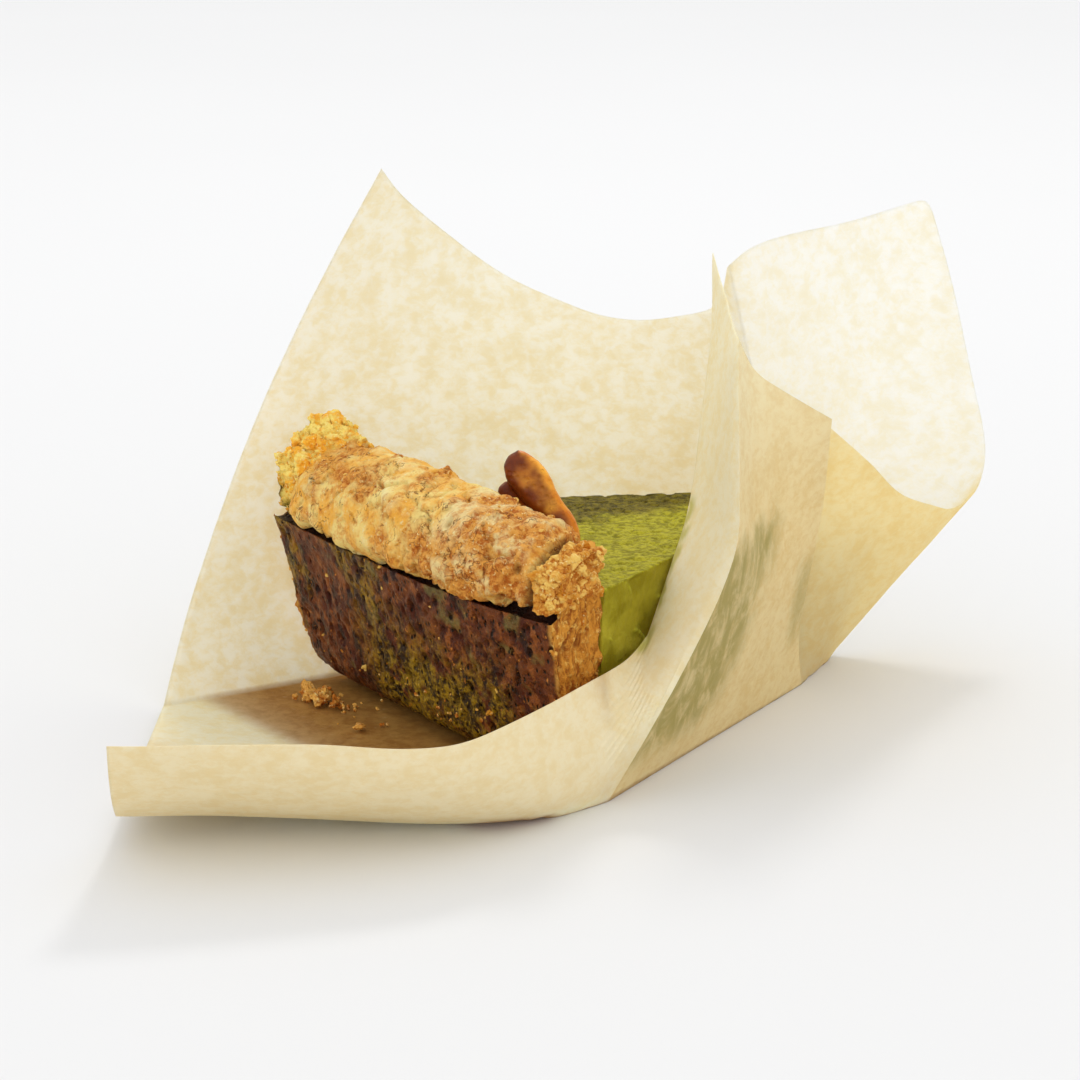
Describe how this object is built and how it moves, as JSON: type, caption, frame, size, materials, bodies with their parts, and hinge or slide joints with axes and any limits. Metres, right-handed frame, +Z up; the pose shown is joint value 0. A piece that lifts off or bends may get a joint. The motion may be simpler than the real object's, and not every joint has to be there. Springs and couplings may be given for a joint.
{
  "type": "matcha pie slice in bakery paper",
  "caption": "Slice of green matcha custard pie with a deep dark crust, a thick rolled rim and a glazed forked biscuit, standing in an opened, folded sheet of thin bakery paper.",
  "frame": {"origin": "middle of the bounding box at its foot, on the table", "axes": "+Z is up, -Y faces the camera side of the picture, where the paper's front flap is, and +X is to the right of the picture"},
  "size_m": [0.1816, 0.1956, 0.1105],
  "materials": {
    "crust": "dull, baked crust, dark on the wall and golden on the rim",
    "custard": "soft green custard with a grainy top",
    "biscuit": "smooth, softly glazed brown biscuit",
    "paper": "thin unbleached translucent paper with mottled fibres"
  },
  "bodies": {
    "root": {"crust": "crust", "matcha_filling": "custard", "biscuit_fork": "biscuit", "paper_wrap": "paper"}
  },
  "joints": []
}
